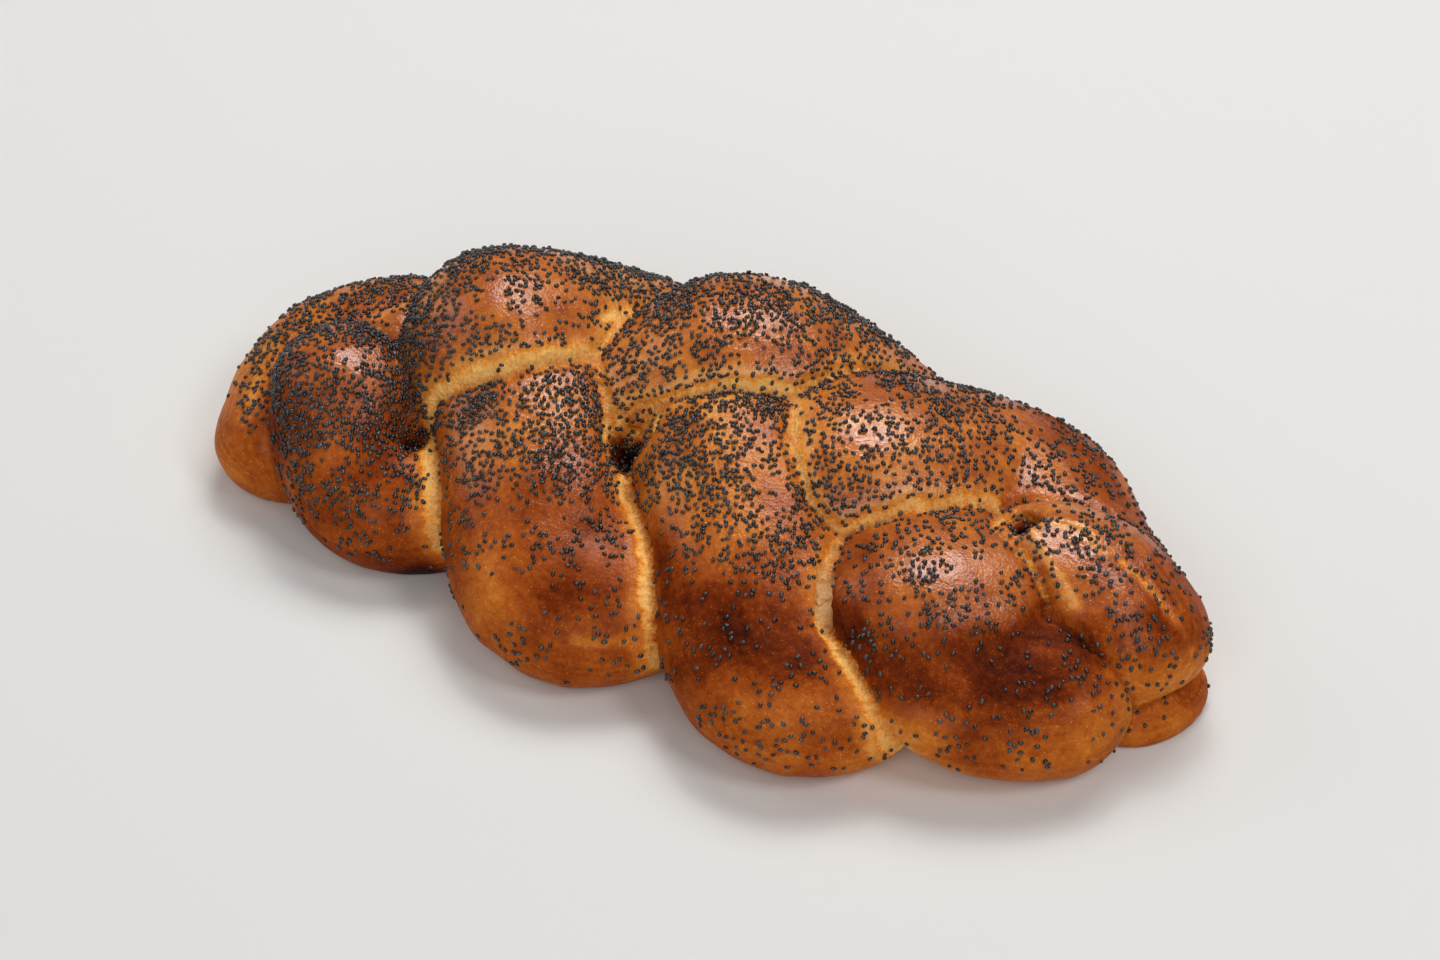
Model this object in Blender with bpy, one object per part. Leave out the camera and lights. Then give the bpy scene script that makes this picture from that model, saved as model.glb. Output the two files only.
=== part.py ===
"""A three-strand plaited poppy-seed bun, modelled in metres, +Z up, resting on z = 0.

+X runs along the bun. Each strand is a swept rope of dough. From its place on one side it
crosses over its neighbour, dips under the next strand and comes out on the other side.
The three are fused into one loaf, cut flat underneath, and strewn with poppy seeds.
"""

import math
import random

import bmesh
import bpy
from mathutils import Vector
from mathutils.bvhtree import BVHTree

MM = 0.001

# A lobe is where a strand shows. Its row holds the centre line's x and y where it is furthest
# out, its x and y where it tops the bun, and its width and height as shares of a full strand.
LOBES = {
    "near 3": (34, -47, 6, -4, 1.02, 0.95),
    "far 3": (24, 28, -4, 22, 1.00, 1.12),
    "near 2": (-21, -40, -47, -3, 0.95, 0.92),
    "far 2": (-34, 35, -56, 13, 1.00, 1.12),
    "near 1": (-71, -25, -90, -8, 0.75, 0.86),
}
# Past these lobes the strands bend and taper to their ends: x, y, z, width share, height share.
ENDS = {
    "near tip": (103, -21, 15, 0.90, 0.95),
    "near front": (73, -33, 17, 1.10, 0.95),
    "near crown": (61, -27, 28, 1.12, 0.86),
    "right top": (80, -8, 28, 0.72, 0.80),
    "right bend": (97, -15, 24, 0.78, 0.80),
    "middle tip": (107, -26, 13, 0.85, 0.85),
    "far tip": (112, -18, 14, 0.62, 0.85),
    "far shoulder": (86, 0, 20, 0.75, 0.90),
    "far side": (61, 20, 20, 1.05, 1.00),
    "far crown": (31, 4, 33, 1.08, 0.98),
    "left near tip": (-96, -10, 14, 0.75, 0.80),
    "left mid tip": (-78, -7, 14, 0.77, 0.77),
    "left far side": (-83, 19, 19, 0.92, 0.98),
    "left bend": (-101, 7, 17, 0.80, 0.90),
    "left far tip": (-97, -28, 12, 0.85, 0.80),
}
STRANDS = (  # from right to left
    ("near tip", "near front", "near crown", "under", "far 3", "under", "near 1", "left near tip"),
    ("middle tip", "right bend", "right top", "under", "near 3", "under", "far 2", "under", "left mid tip"),
    ("far tip", "far shoulder", "far side", "far crown", "under", "near 2", "under", "left far side", "left bend", "left far tip"),
)
# The ends at the right are tucked under in one low fold: x, y, z, width share, height share.
FOLD = (
    (90, -23, 7, 0.45, 0.38),
    (101, -21, 7, 0.50, 0.38),
    (106, -13, 7, 0.50, 0.38),
    (103, 0, 7, 0.45, 0.38),
)
# Underneath, the dough has baked together into one flat sole.
SOLE = ((-88, -4, 10, 1.1, 0.6), (0, -3, 10, 1.25, 0.6), (104, -8, 10, 0.9, 0.6))

HALF_WIDTH = 24  # of a full strand's section
HALF_DEPTH = 17
SIDE_Z = 17  # centre line's height where a strand is furthest out
TOP_Z = 33.5  # where it tops the bun
UNDER_Z = 20  # and where it passes under the next one
UNDER_SHARE = 0.95  # a strand is squeezed a little under there
GROUND_Z = 4  # the bun is cut flat at this height, which then becomes z = 0
TIP_ROUND = 16  # length of a strand's rounded end
TIP_BLUNT = 0.14  # the end is flat across this share of the section

CURVE_STEPS = 400
RINGS = 64
RING_SIDES = 32
VOXEL = 1.5
SOFTEN_FACTOR = 0.5
BODY_TRIANGLES = 5200

SEEDS = 185
SEED_SIZE = (1.2, 0.95, 0.75)  # length, width and thickness
SEED_RISE = 0.15  # the middle of a seed lies this share of its thickness above the crust
SEED_GAP = 3.0
SEED_LOW_Z, SEED_HIGH_Z = 6, 36  # bare below the first height, fully strewn above the second
SEED_STEEP = 0.35  # seeds reach down to where the crust overhangs by this much
SEAM_REACH = 25  # a place with crust opposite it within this distance is in a seam
SEED_TRIES = 60  # draws for each seed that is wanted
PLACE_DRAW = 7
TURN_DRAW = 11

CRUST_COLOUR = (0.30, 0.09, 0.02, 1.0)
CRUST_ROUGHNESS = 0.35


def side_point(lobe):
    x, y, _, _, wide, tall = LOBES[lobe]
    return (x, y, SIDE_Z * tall, wide, tall)


def top_point(lobe):
    _, _, x, y, wide, tall = LOBES[lobe]
    return (x, y, TOP_Z * tall, wide, tall)


def under_point(before, after):
    """Where a strand passes under, halfway between the knots before and after it."""
    x, y, _, wide, tall = ((a + b) / 2 for a, b in zip(before, after))
    return (x, y, UNDER_Z * tall, UNDER_SHARE * wide, UNDER_SHARE * tall)


def knots(names):
    """The knots of a strand's centre line: x, y, z, width share, height share."""
    found = []
    for name in names:
        if name in LOBES:
            found += [side_point(name), top_point(name)]
        else:
            found.append(ENDS.get(name))
    for i, knot in enumerate(found):
        if knot is None:
            found[i] = under_point(found[i - 1], found[i + 1])
    return found


def curve_value(points, u):
    """The knots joined by a Catmull-Rom curve, at u counted in knots."""
    last = len(points) - 1
    i = min(max(int(u), 0), last - 1)
    t = u - i
    b, c = points[i], points[i + 1]
    a = points[i - 1] if i else tuple(2 * p - q for p, q in zip(b, c))
    d = points[i + 2] if i + 2 <= last else tuple(2 * q - p for p, q in zip(b, c))
    return [
        0.5 * (2 * q + (r - p) * t + (2 * p - 5 * q + 4 * r - s) * t**2 + (3 * q - p - 3 * r + s) * t**3)
        for p, q, r, s in zip(a, b, c, d)
    ]


def stations(points):
    """Evenly spaced (centre, half width, half depth) along the knots, rounded off at both ends."""
    last = len(points) - 1
    fine = [curve_value(points, last * i / CURVE_STEPS) for i in range(CURVE_STEPS + 1)]
    run = [0.0]
    for p, q in zip(fine, fine[1:]):
        run.append(run[-1] + math.dist(p[:3], q[:3]))
    found = []
    k = 0
    for i in range(RINGS):
        s = run[-1] * i / (RINGS - 1)
        while run[k + 1] < s and k < CURVE_STEPS - 1:
            k += 1
        t = (s - run[k]) / (run[k + 1] - run[k])
        x, y, z, wide, tall = (p + (q - p) * t for p, q in zip(fine[k], fine[k + 1]))
        end = min(min(s, run[-1] - s) / TIP_ROUND, 1.0)
        cap = max(math.sqrt(1 - (1 - end) ** 2), TIP_BLUNT)
        found.append((Vector((x, y, z)), HALF_WIDTH * wide * cap, HALF_DEPTH * tall * cap))
    return found


def sweep(mesh, points):
    """A rope with an elliptical section along the knots."""
    rings = []
    run = stations(points)
    for i, (centre, wide, deep) in enumerate(run):
        along = (run[min(i + 1, RINGS - 1)][0] - run[max(i - 1, 0)][0]).normalized()
        side = Vector((0, 0, 1)).cross(along).normalized()
        up = along.cross(side)
        ring = []
        for k in range(RING_SIDES):
            a = math.tau * k / RING_SIDES
            ring.append(mesh.verts.new((centre + side * wide * math.cos(a) + up * deep * math.sin(a)) * MM))
        rings.append(ring)
    for low, high in zip(rings, rings[1:]):
        for k in range(RING_SIDES):
            n = (k + 1) % RING_SIDES
            mesh.faces.new((low[k], low[n], high[n], high[k]))
    mesh.faces.new(rings[0])
    mesh.faces.new(rings[-1])


def new_object(name, mesh):
    data = bpy.data.meshes.new(name)
    mesh.to_mesh(data)
    mesh.free()
    made = bpy.data.objects.new(name, data)
    bpy.context.scene.collection.objects.link(made)
    return made


def apply_modifiers(item):
    graph = bpy.context.evaluated_depsgraph_get()
    data = bpy.data.meshes.new_from_object(item.evaluated_get(graph))
    item.modifiers.clear()
    item.data = data


def keep_outside(item):
    """Fills the hollows that fusing sealed, and drops loose scraps: only the outer skin stays."""
    mesh = bmesh.new()
    mesh.from_mesh(item.data)
    left = set(mesh.verts)
    groups = []
    while left:
        stack = [left.pop()]
        group = set(stack)
        while stack:
            for edge in stack.pop().link_edges:
                for vert in edge.verts:
                    if vert in left:
                        left.remove(vert)
                        group.add(vert)
                        stack.append(vert)
        groups.append(group)
    largest = max(groups, key=len)
    bmesh.ops.delete(mesh, geom=[v for v in mesh.verts if v not in largest], context="VERTS")
    mesh.to_mesh(item.data)
    mesh.free()


def fuse_strands():
    mesh = bmesh.new()
    for strand in STRANDS:
        sweep(mesh, knots(strand))
    sweep(mesh, FOLD)
    sweep(mesh, SOLE)
    bmesh.ops.recalc_face_normals(mesh, faces=mesh.faces)
    loaf = new_object("loaf", mesh)
    remesh = loaf.modifiers.new("fuse", "REMESH")
    remesh.mode = "VOXEL"
    remesh.voxel_size = VOXEL * MM
    soften = loaf.modifiers.new("soften", "SMOOTH")
    soften.factor = SOFTEN_FACTOR
    apply_modifiers(loaf)
    keep_outside(loaf)
    return loaf


def simplify(item):
    thin = item.modifiers.new("thin", "DECIMATE")
    thin.ratio = BODY_TRIANGLES / sum(len(p.vertices) - 2 for p in item.data.polygons)
    apply_modifiers(item)


def cut_flat(item):
    """Cuts off what is under the ground and closes the cut."""
    mesh = bmesh.new()
    mesh.from_mesh(item.data)
    whole = mesh.verts[:] + mesh.edges[:] + mesh.faces[:]
    ground = Vector((0, 0, GROUND_Z * MM))
    cut = bmesh.ops.bisect_plane(mesh, geom=whole, plane_co=ground, plane_no=(0, 0, -1), clear_outer=True)
    rim = [e for e in cut["geom_cut"] if isinstance(e, bmesh.types.BMEdge)]
    bmesh.ops.triangle_fill(mesh, edges=rim, use_beauty=True)
    bmesh.ops.recalc_face_normals(mesh, faces=mesh.faces)
    bmesh.ops.translate(mesh, verts=mesh.verts, vec=-ground)
    mesh.to_mesh(item.data)
    mesh.free()


def near_seeds(found, point, gap):
    return any((other - point).length < gap for other, _ in found)


def seed_places(item):
    """Evenly spread places on the crust: not underneath, few low down, none in the deep seams."""
    item.data.calc_loop_triangles()
    corners = [[item.data.vertices[i].co for i in tri.vertices] for tri in item.data.loop_triangles]
    areas = [((b - a).cross(c - a)).length / 2 for a, b, c in corners]
    tree = BVHTree.FromPolygons([v.co for v in item.data.vertices], [p.vertices for p in item.data.polygons])
    draw = random.Random(PLACE_DRAW)
    found = []
    for _ in range(SEEDS * SEED_TRIES):
        if len(found) == SEEDS:
            break
        a, b, c = draw.choices(corners, areas)[0]
        r, s = math.sqrt(draw.random()), draw.random()
        point = a * (1 - r) + b * (r * (1 - s)) + c * (r * s)
        normal = (b - a).cross(c - a).normalized()
        share = min(max((point.z / MM - SEED_LOW_Z) / (SEED_HIGH_Z - SEED_LOW_Z), 0.0), 1.0)
        share *= min(max(normal.z + SEED_STEEP, 0.0), 1.0)
        if draw.random() > share or near_seeds(found, point, SEED_GAP * MM):
            continue
        if tree.ray_cast(point + normal * MM, normal, SEAM_REACH * MM)[0]:
            continue
        found.append((point, normal))
    return found


def seed_mesh(point, normal, turn):
    mesh = bmesh.new()
    bmesh.ops.create_icosphere(mesh, subdivisions=1, radius=0.5)
    long, wide, tall = (size * MM for size in SEED_SIZE)
    across = normal.orthogonal().normalized()
    for vert in mesh.verts:
        x, y, z = vert.co
        flat = across * (x * long * math.cos(turn) - y * wide * math.sin(turn))
        flat += normal.cross(across) * (x * long * math.sin(turn) + y * wide * math.cos(turn))
        vert.co = point + flat + normal * (z + SEED_RISE) * tall
    return mesh


def add_seeds(item):
    """Fuses the poppy seeds to the crust by one union with a collection."""
    group = bpy.data.collections.new("seeds")
    bpy.context.scene.collection.children.link(group)
    draw = random.Random(TURN_DRAW)
    for number, (point, normal) in enumerate(seed_places(item)):
        seed = new_object(f"seed_{number}", seed_mesh(point, normal, draw.uniform(0, math.tau)))
        bpy.context.scene.collection.objects.unlink(seed)
        group.objects.link(seed)
    union = item.modifiers.new("union", "BOOLEAN")
    union.operation = "UNION"
    union.operand_type = "COLLECTION"
    union.collection = group
    union.solver = "MANIFOLD"
    apply_modifiers(item)
    for seed in list(group.objects):
        bpy.data.objects.remove(seed)
    bpy.data.collections.remove(group)


def place_at_origin(item):
    """Puts the middle of the footprint's box at the origin, on the ground."""
    for axis in (0, 1):
        values = [v.co[axis] for v in item.data.vertices]
        middle = (min(values) + max(values)) / 2
        for vert in item.data.vertices:
            vert.co[axis] -= middle


def paint(item):
    crust = bpy.data.materials.new("crust")
    crust.use_nodes = True
    shader = crust.node_tree.nodes["Principled BSDF"]
    shader.inputs["Base Color"].default_value = CRUST_COLOUR
    shader.inputs["Roughness"].default_value = CRUST_ROUGHNESS
    item.data.materials.append(crust)


def main():
    for old in list(bpy.data.objects):
        bpy.data.objects.remove(old)
    bun = fuse_strands()
    simplify(bun)
    cut_flat(bun)
    keep_outside(bun)
    add_seeds(bun)
    keep_outside(bun)
    place_at_origin(bun)
    paint(bun)
    bun.name = "bun"


main()
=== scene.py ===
# %% [markdown]
# # A braided poppy-seed bun
# We dress a plain CAD bun in its real look. The real one is three ropes of dough plaited,
# brushed with egg, strewn with poppy seeds and baked until the crust is glossy brown.
# The frame holds the CAD model: it fixes the size and the place, and we never move it.

import math

import bpy
import numpy as np
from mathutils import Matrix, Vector, noise
from mathutils.bvhtree import BVHTree
from mathutils.kdtree import KDTree


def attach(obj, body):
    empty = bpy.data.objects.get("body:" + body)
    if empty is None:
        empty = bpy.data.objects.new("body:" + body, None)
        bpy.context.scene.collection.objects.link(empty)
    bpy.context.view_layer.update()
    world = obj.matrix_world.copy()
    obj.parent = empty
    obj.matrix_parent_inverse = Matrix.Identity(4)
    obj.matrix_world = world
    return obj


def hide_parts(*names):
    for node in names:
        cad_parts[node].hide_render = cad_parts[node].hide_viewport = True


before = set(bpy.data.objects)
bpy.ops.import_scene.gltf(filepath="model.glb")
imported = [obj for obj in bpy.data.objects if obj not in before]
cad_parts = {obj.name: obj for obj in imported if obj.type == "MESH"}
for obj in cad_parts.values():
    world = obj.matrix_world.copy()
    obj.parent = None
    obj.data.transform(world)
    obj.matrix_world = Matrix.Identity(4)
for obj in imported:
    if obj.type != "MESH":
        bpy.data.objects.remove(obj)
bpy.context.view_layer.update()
MM = 0.001

# %% [markdown]
# ## The camera
# The photo looks down on the bun from the front right with a long lens. We turn that into a
# few plain numbers: an azimuth, an elevation, a distance and the point that it looks at.

# %% Place the camera
AZIMUTH, ELEVATION = math.radians(21), math.radians(41)
DISTANCE, LENS = 0.85, 95  # metres from the target, and the focal length in mm
TARGET = Vector((0.0015, 0.0062, 0.0186))

camera = bpy.data.objects.new("camera", bpy.data.cameras.new("camera"))
bpy.context.scene.collection.objects.link(camera)
camera.data.lens = LENS
back = Vector((math.sin(AZIMUTH), -math.cos(AZIMUTH), math.tan(ELEVATION))).normalized()
camera.location = TARGET + back * DISTANCE
camera.rotation_euler = back.to_track_quat("Z", "Y").to_euler()
bpy.context.scene.camera = camera
bpy.context.scene.view_settings.view_transform = "Standard"
print("camera at", [round(v, 3) for v in camera.location])

# %% [markdown]
# ## Small helpers
# Blender's operators act on what is selected, so each step starts by selecting one thing only.
# A modifier is added, set and applied in one go, as a modeller does with the apply button.


# %% Helpers for selecting and for modifiers
def only(item):
    bpy.ops.object.select_all(action="DESELECT")
    item.select_set(True)
    bpy.context.view_layer.objects.active = item


def modify(item, kind, **settings):
    only(item)
    made = item.modifiers.new(kind.lower(), kind)
    for name, value in settings.items():
        setattr(made, name, value)
    bpy.ops.object.modifier_apply(modifier=made.name)


def points_of(item):
    found = np.empty(len(item.data.vertices) * 3)
    item.data.vertices.foreach_get("co", found)
    return found.reshape(-1, 3)


def normals_of(item):
    found = np.empty(len(item.data.vertices) * 3)
    item.data.vertex_normals.foreach_get("vector", found)
    return found.reshape(-1, 3)


def edges_of(item):
    found = np.empty(len(item.data.edges) * 2, int)
    item.data.edges.foreach_get("vertices", found)
    return found.reshape(-1, 2)


def move_points(item, points):
    item.data.vertices.foreach_set("co", points.ravel())
    item.data.update()


def ease(low, high, value):
    """0 below low, 1 above high, and a smooth step between them."""
    t = np.clip((value - low) / (high - low), 0, 1)
    return t * t * (3 - 2 * t)


NOISE_STEPS = (7.3, 3.1, 5.7)  # how many waves apart two patterns start


def wobble(points, size, seed):
    """Smooth noise between about -1 and 1 at each point; size is the width of its waves in mm."""
    shift = Vector([seed * step for step in NOISE_STEPS])
    scale = 1 / (size * MM)
    return np.array([noise.noise(Vector(p) * scale + shift) for p in points])


# %% [markdown]
# ## The plait
# A three-strand plait is three ropes that take turns. Each goes out to one side, comes up
# over its neighbour and dives under the next. A lobe is the part of a rope that shows.
# Two knots make a lobe: where its centre line is furthest out, and where it tops the bun.
# All places are in mm, followed by the section's width and height as shares of a full rope's.

# %% Lay out the lobes and the strands
CENTRE = (-1.534, -6.242, 4.0)  # mm from the plait's own origin to the frame's origin
LOBES = {  # x and y of its outermost knot, x and y of its top, then the two shares
    "near 3": (34, -47, 6, -4, 1.02, 0.95),
    "far 3": (24, 28, -4, 22, 1.00, 1.12),
    "near 2": (-21, -40, -45, -1, 0.95, 0.92),
    "far 2": (-34, 35, -57, 11, 1.00, 1.13),
    "near 1": (-71, -25, -90, -8, 0.75, 0.86),
}
ENDS = {
    "near tip": (103, -21, 15, 0.90, 0.95),
    "near front": (73, -33, 17, 1.10, 0.95),
    "near crown": (61, -27, 28, 1.12, 0.86),
    "right top": (80, -8, 28, 0.72, 0.80),
    "right bend": (97, -15, 24, 0.78, 0.80),
    "middle tip": (107, -26, 13, 0.85, 0.85),
    "far tip": (112, -18, 14, 0.62, 0.85),
    "far shoulder": (86, 0, 20, 0.75, 0.90),
    "far side": (61, 20, 20, 1.05, 1.00),
    "far crown": (31, 4, 33, 1.08, 0.98),
    "left near tip": (-96, -10, 14, 0.75, 0.80),
    "left mid tip": (-78, -7, 14, 0.77, 0.77),
    "left far side": (-83, 19, 19, 0.92, 0.98),
    "left bend": (-101, 7, 17, 0.80, 0.90),
    "left far tip": (-97, -28, 12, 0.85, 0.80),
}
STRANDS = {
    "first": ("near tip", "near front", "near crown", "under", "far 3", "under", "near 1", "left near tip"),
    "second": (
        "middle tip", "right bend", "right top", "under", "near 3", "under", "far 2", "under", "left mid tip",
    ),
    "third": (
        "far tip", "far shoulder", "far side", "far crown", "under", "near 2", "steep",
        "left far side", "left bend", "left far tip",
    ),
}
DIVES = {"under": 0.5, "steep": 0.33}  # where a dive is lowest, on its way to the next knot
FOLD = (
    (90, -23, 7, 0.45, 0.38), (101, -21, 7, 0.50, 0.38),
    (106, -13, 7, 0.50, 0.38), (103, 0, 7, 0.45, 0.38),
)
SOLE = ((-88, -4, 10, 1.1, 0.6), (0, -3, 10, 1.25, 0.6), (104, -8, 10, 0.9, 0.6))
# An end belongs to the lobe that it finishes, or it is a lobe of its own.
END_OF = {
    "near tip": "near 4", "near front": "near 4", "near crown": "near 4",
    "right top": "right end", "right bend": "right end", "middle tip": "right end",
    "far tip": "far 4", "far shoulder": "far 4", "far side": "far 4", "far crown": "far 4",
    "left near tip": "near 1", "left mid tip": "far 2",
    "left far side": "left end", "left bend": "left end", "left far tip": "left end",
}
SIDE_Z, TOP_Z, UNDER_Z = 17, 33.5, 20  # height of a lobe's two knots and of a dive
UNDER_SHARE = 0.95  # a diving rope is squeezed a little
HALF_WIDTH, HALF_DEPTH, TIP_ROUND = 24, 17, 16  # a full rope's section, and how long its tip is


def knots(names):
    """The knots of a strand, x, y, z, width share and height share, and the lobe of each."""
    found, lobes = [], []
    for name in names:
        if name in LOBES:
            x, y, top_x, top_y, wide, tall = LOBES[name]
            found += [(x, y, SIDE_Z * tall, wide, tall), (top_x, top_y, TOP_Z * tall, wide, tall)]
            lobes += [name, name]
        else:
            found.append(ENDS.get(name) or DIVES[name])
            lobes.append(END_OF.get(name))
    for i, knot in enumerate(found):
        if isinstance(knot, float):
            x, y, _, wide, tall = (a + (b - a) * knot for a, b in zip(found[i - 1], found[i + 1]))
            found[i] = (x, y, UNDER_Z * tall, UNDER_SHARE * wide, UNDER_SHARE * tall)
    return found, lobes


for strand, names in STRANDS.items():
    print(strand, "strand has", len(knots(names)[0]), "knots")

# %% [markdown]
# ## From a ball to a rope
# Any rope is a stretched ball, so each strand starts as a UV sphere. Its poles become the two
# ends, and each of its rings is moved to its own place on a smooth curve through the knots.
# A curve object with a round bevel would be quicker, but its section can't be wider than tall.

# %% Pull a ball out along the knots
RINGS, SIDES, CURVE_STEPS = 128, 48, 400  # points of a rope, and of the curve that it follows


def curve_value(points, u):
    """A Catmull-Rom curve through the knots, at u counted in knots."""
    last = len(points) - 1
    i = min(max(int(u), 0), last - 1)
    t = u - i
    b, c = points[i], points[i + 1]
    a = points[i - 1] if i else 2 * b - c
    d = points[i + 2] if i + 2 <= last else 2 * c - b
    return 0.5 * (2 * b + (c - a) * t + (2 * a - 5 * b + 4 * c - d) * t**2 + (3 * b - a - 3 * c + d) * t**3)


def rope(name, points):
    """A strand with an elliptical section; also gives its track: each vertex's place and axes."""
    points = [np.array(p, float) for p in points]
    steps = np.linspace(0, len(points) - 1, CURVE_STEPS + 1)
    fine = np.array([curve_value(points, u) for u in steps])
    run = np.concatenate([[0], np.cumsum(np.linalg.norm(np.diff(fine[:, :3], axis=0), axis=1))])
    along = np.gradient(fine[:, :3], run, axis=0)
    bpy.ops.object.select_all(action="DESELECT")
    bpy.ops.mesh.primitive_uv_sphere_add(segments=SIDES, ring_count=RINGS, radius=1)
    made = bpy.context.object
    made.name = name
    ball = points_of(made)
    s = np.arccos(np.clip(ball[:, 2], -1, 1)) / math.pi * run[-1]
    angle = np.arctan2(ball[:, 1], ball[:, 0])
    x, y, z, wide, tall = (np.interp(s, run, fine[:, k]) for k in range(5))
    way = np.stack([np.interp(s, run, along[:, k]) for k in range(3)], axis=1)
    way /= np.linalg.norm(way, axis=1, keepdims=True)
    side = np.cross([0, 0, 1], way)
    side /= np.linalg.norm(side, axis=1, keepdims=True)
    up = np.cross(way, side)
    end = np.clip(np.minimum(s, run[-1] - s) / TIP_ROUND, 0, 1)
    cap = np.sqrt(1 - (1 - end) ** 2)
    centre = np.stack([x, y, z], axis=1) - CENTRE
    wide, tall = HALF_WIDTH * wide[:, None], HALF_DEPTH * tall[:, None]
    round_it = cap[:, None] * (side * wide * np.cos(angle)[:, None] + up * tall * np.sin(angle)[:, None])
    move_points(made, (centre + round_it) * MM)
    only(made)
    bpy.ops.object.mode_set(mode="EDIT")
    bpy.ops.mesh.select_all(action="SELECT")
    bpy.ops.mesh.normals_make_consistent(inside=False)
    bpy.ops.object.mode_set(mode="OBJECT")
    track = {"knot": np.interp(s, run, steps), "run": s, "centre": centre, "way": way}
    track.update(side=side / wide, up=up / tall)
    return made, track


def lobe_at(u, lobes):
    """The lobe at u on a strand: a dive belongs to the lobe before it up to its middle."""
    low, high = int(u), min(int(u) + 1, len(lobes) - 1)
    near = low if u - low < 0.5 else high
    return lobes[near] or (lobes[low] if near == high else lobes[high]) or lobes[low]


runs = {strand: knots(names) for strand, names in STRANDS.items()}
runs["fold"] = (FOLD, ["fold"] * len(FOLD))
runs["sole"] = (SOLE, ["sole"] * len(SOLE))
ropes, tracks, trees, first_vertex, face_lobes = [], [], [], [], []
for name, (points, lobes) in runs.items():
    made, track = rope(name, points)
    sides = [tuple(p.vertices) for p in made.data.polygons]
    ropes.append(made)
    tracks.append(track)
    trees.append(BVHTree.FromPolygons([v.co for v in made.data.vertices], sides))
    first_vertex.append([side[0] for side in sides])
    face_lobes.append([lobe_at(track["knot"][side[0]], lobes) for side in sides])
print("ropes:", [item.name for item in ropes])

# %% [markdown]
# ## Fusing the dough
# In the oven the ropes grow into one another. Joining the objects and remeshing them with
# small voxels does the same: one closed skin is left. Where three lobes meet, a deep pit
# stays open between them, so the skin is pushed down there like a funnel.

# %% Fuse the ropes into one skin
VOXEL = 1.1
PITS = (  # x, y and z of the middle, radius and depth in mm
    (-67, -12, 25, 3.2, 7),
    (-16, -3, 29, 4.2, 9),
    (74, 0, 32, 3.0, 9),
)
PIT_FLOOR, PIT_FULL = 14, 6  # mm below a pit's middle: nothing lower is pushed, all above is

only(ropes[0])
for item in ropes:
    item.select_set(True)
bpy.ops.object.join()
crust = bpy.context.object
crust.name = "crust"
modify(crust, "REMESH", mode="VOXEL", voxel_size=VOXEL * MM)
points = points_of(crust)
for x, y, z, radius, depth in PITS:
    across = np.linalg.norm(points[:, :2] / MM - (x, y), axis=1)
    above = ease(z - PIT_FLOOR, z - PIT_FULL, points[:, 2] / MM)
    points[:, 2] -= depth * MM * np.exp(-((across / radius) ** 2)) * above
move_points(crust, points)
modify(crust, "REMESH", mode="VOXEL", voxel_size=VOXEL * MM)
modify(crust, "SMOOTH", factor=0.5, iterations=3)
print("skin:", len(crust.data.vertices), "vertices")

# %% [markdown]
# Dough is never quite even, so broad clouds push the skin in and out by a fraction of a
# millimetre. Then the bun is cut flat where it lay on the baking sheet, and the cut is filled.


# %% Make it uneven and cut it flat
def clouds(item, size, strength, group=""):
    """Pushes the surface along its normals by a cloud pattern, waves of size mm, strength in mm."""
    texture = bpy.data.textures.new("clouds", "CLOUDS")
    texture.noise_scale = size * MM
    modify(item, "DISPLACE", texture=texture, strength=strength * MM, mid_level=0.5, vertex_group=group)


clouds(crust, size=24, strength=1.6)
only(crust)
bpy.ops.object.mode_set(mode="EDIT")
bpy.ops.mesh.select_all(action="SELECT")
bpy.ops.mesh.bisect(plane_co=(0, 0, 0), plane_no=(0, 0, 1), clear_inner=True)
bpy.ops.mesh.fill(use_beauty=True)
bpy.ops.mesh.select_all(action="SELECT")
bpy.ops.mesh.quads_convert_to_tris(quad_method="BEAUTY", ngon_method="BEAUTY")
bpy.ops.mesh.normals_make_consistent(inside=False)
bpy.ops.object.mode_set(mode="OBJECT")
print("cut flat:", len(crust.data.polygons), "faces")

# %% [markdown]
# ## Whose skin is it?
# Each point of the skin belongs to the lobe whose rope is nearest. We also note where it lies
# on that rope, round it and along it. Dough is stretched lengthways as it is rolled, so that
# note lets us draw fine streaks along each strand later on.

# %% Find the lobe and the grain of each point
# The note's radius round a rope in mm, its stretch along a rope, and the step to the next rope.
GRAIN_ROUND, GRAIN_ALONG, NEXT_ROPE = 17, 0.07, 50

points = points_of(crust)
lobe_names = sorted(set(sum(face_lobes, [])))
owner, rope_of, beside = (np.zeros(len(points), int) for _ in range(3))
best = np.full(len(points), np.inf)
for number, (tree, lobes) in enumerate(zip(trees, face_lobes)):
    codes = [lobe_names.index(lobe) for lobe in lobes]
    for i, point in enumerate(points):
        _, _, face, gap = tree.find_nearest(point)
        if gap < best[i]:
            best[i], owner[i], rope_of[i], beside[i] = gap, codes[face], number, first_vertex[number][face]

grain = np.zeros((len(points), 3))
for number, track in enumerate(tracks):
    inside = rope_of == number
    at = beside[inside]
    offset = points[inside] / MM - track["centre"][at]
    out, up, on = ((offset * track[way][at]).sum(axis=1) for way in ("side", "up", "way"))
    size = np.hypot(out, up)
    along = (track["run"][at] + on) * GRAIN_ALONG + NEXT_ROPE * number
    grain[inside] = np.stack([GRAIN_ROUND * out / size, GRAIN_ROUND * up / size, along], axis=1)
print("lobe sizes:", {name: int((owner == i).sum()) for i, name in enumerate(lobe_names)})

# %% [markdown]
# ## Finding the seams
# Where the lobe changes, there is a seam. In the oven the rope that dives under another is
# torn along that seam, and its pale inside shows. So each pair of lobes gets the width of its
# tear, on the lower lobe, at the left end of the seam and at the right end. The crust beside a
# tear is golden, as it was covered for a while. Each point also notes its root, the nearest
# place on the seam: all points that share a root lie on one fibre of pulled dough.

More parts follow.
